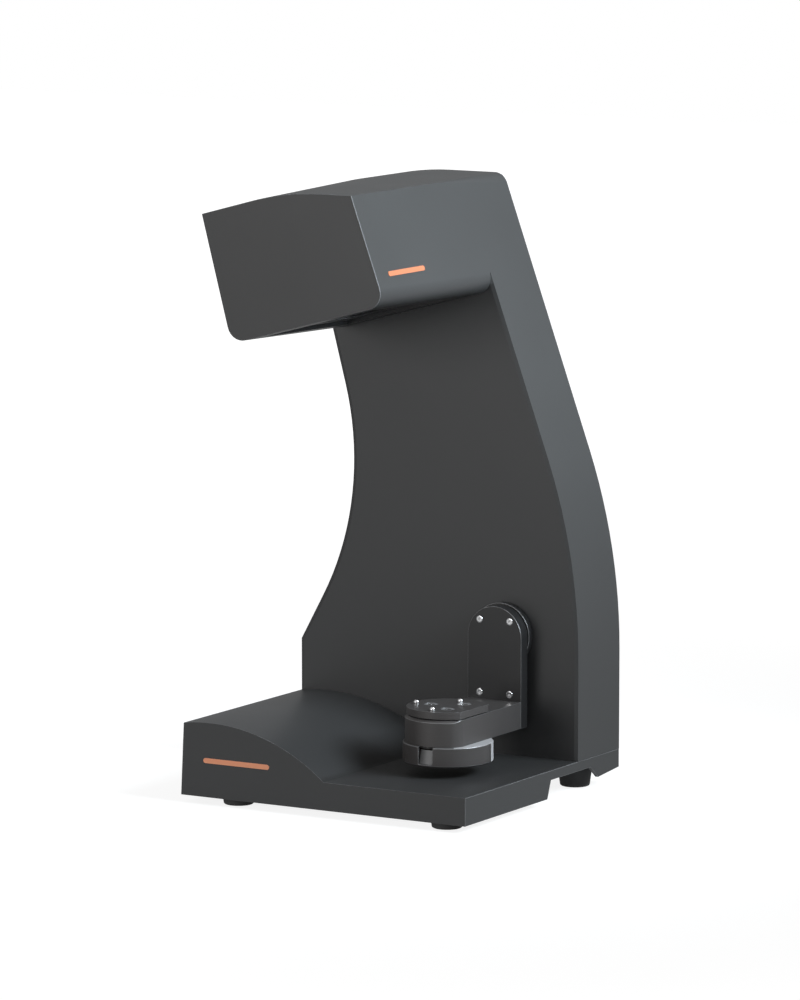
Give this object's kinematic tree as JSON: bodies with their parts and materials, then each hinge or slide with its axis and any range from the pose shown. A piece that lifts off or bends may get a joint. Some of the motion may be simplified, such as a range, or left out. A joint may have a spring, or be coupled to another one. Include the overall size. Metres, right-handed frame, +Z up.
{
  "type": "desktop 3d scanner",
  "caption": "Desktop 3D scanner: tilted optics head on a leaning column, motor-driven swing arm with a small turntable, thin base on rubber feet.",
  "frame": {"origin": "centre of the housing's footprint, on the surface that the feet stand on", "axes": "+X to the user's right, +Y from the front to the back, +Z up"},
  "size_m": [0.256, 0.2428, 0.48],
  "materials": {
    "shell": "fine satin moulded casing, dark blue grey",
    "dark_plastic": "matt black moulded plastic",
    "black_rubber": "matt black rubber",
    "anodised": "black anodised, satin",
    "plain_aluminium": "machined",
    "steel": "ground steel",
    "bright_steel": "polished",
    "black_screw": "black oxide",
    "magnet": "nickel plated, dull",
    "sheet_metal": "zinc plated sheet",
    "pcb": "green solder mask",
    "copper": "wound copper",
    "lens_black": "matt black lens barrel",
    "window_glass": "coated dark glass",
    "orange": "orange inlay",
    "cable": "black cable sheath"
  },
  "bodies": {
    "housing": {"base_housing": "shell", "base_bottom_plate": "sheet_metal", "rubber_feet": "black_rubber", "foot_screws": "steel", "bottom_plate_screws": "black_screw", "column_housing": "shell", "rear_cover": "shell", "rear_cover_screws": "black_screw", "head_housing": "shell", "head_bottom_cover": "dark_plastic", "optics_window": "window_glass", "window_frame": "dark_plastic", "optics_bench": "plain_aluminium", "bench_posts": "plain_aluminium", "projector_body": "dark_plastic", "projector_lens": "lens_black", "camera_bodies": "anodised", "camera_lenses": "lens_black", "camera_brackets": "plain_aluminium", "spine_frame": "plain_aluminium", "bearing_housing": "plain_aluminium", "swing_bearings": "steel", "swing_motor": "dark_plastic", "motor_bracket": "plain_aluminium", "drive_belt": "black_rubber", "control_board": "pcb", "board_standoffs": "steel", "power_board": "pcb", "power_inlet": "dark_plastic", "usb_port": "steel", "switch_body": "dark_plastic", "fan_frame": "dark_plastic", "head_harness": "cable", "motor_harness": "cable", "home_sensor": "dark_plastic", "head_accent": "orange", "base_accent": "orange"},
    "swing_arm": {"swing_shaft": "steel", "swing_flange": "anodised", "swing_pulley": "plain_aluminium", "swing_plate": "anodised", "swing_plate_screws": "bright_steel", "arm_body": "anodised", "drum_housing": "anodised", "drum_plug": "dark_plastic", "table_stator": "copper", "table_bearings": "steel"},
    "turntable": {"table_shaft": "steel", "table_rotor": "magnet", "table_plate": "anodised", "locating_pins": "bright_steel", "table_magnets": "magnet", "magnet_screws": "bright_steel"},
    "motor_spindle": {"motor_pulley": "plain_aluminium"},
    "cooling_fan": {"fan_rotor": "dark_plastic"},
    "rocker": {"power_rocker": "dark_plastic"}
  },
  "joints": [
    {"name": "arm_swing", "type": "hinge", "parent": "housing", "child": "swing_arm", "pos_m": [0.0624, 0.037, 0.124], "axis": [0, 1, 0], "range_deg": [-90, 90]},
    {"name": "table_spin", "type": "hinge", "parent": "swing_arm", "child": "turntable", "pos_m": [0.0624, -0.0352, 0.0803], "axis": [0, 0, 1], "continuous": true},
    {"name": "swing_motor_spin", "type": "hinge", "parent": "housing", "child": "motor_spindle", "pos_m": [0.0624, 0.037, 0.196], "axis": [0, 1, 0], "range_deg": [-270, 270]},
    {"name": "fan_spin", "type": "hinge", "parent": "housing", "child": "cooling_fan", "pos_m": [-0.0183, 0.1082, 0.337], "axis": [0, 1, 0], "continuous": true},
    {"name": "power_rocker_tilt", "type": "hinge", "parent": "housing", "child": "rocker", "pos_m": [-0.0453, 0.117, 0.062], "axis": [1, 0, 0], "range_deg": [-9, 0]}
  ],
  "couplings": [
    {"joint": "swing_motor_spin", "follows": "arm_swing", "ratio": 3}
  ]
}
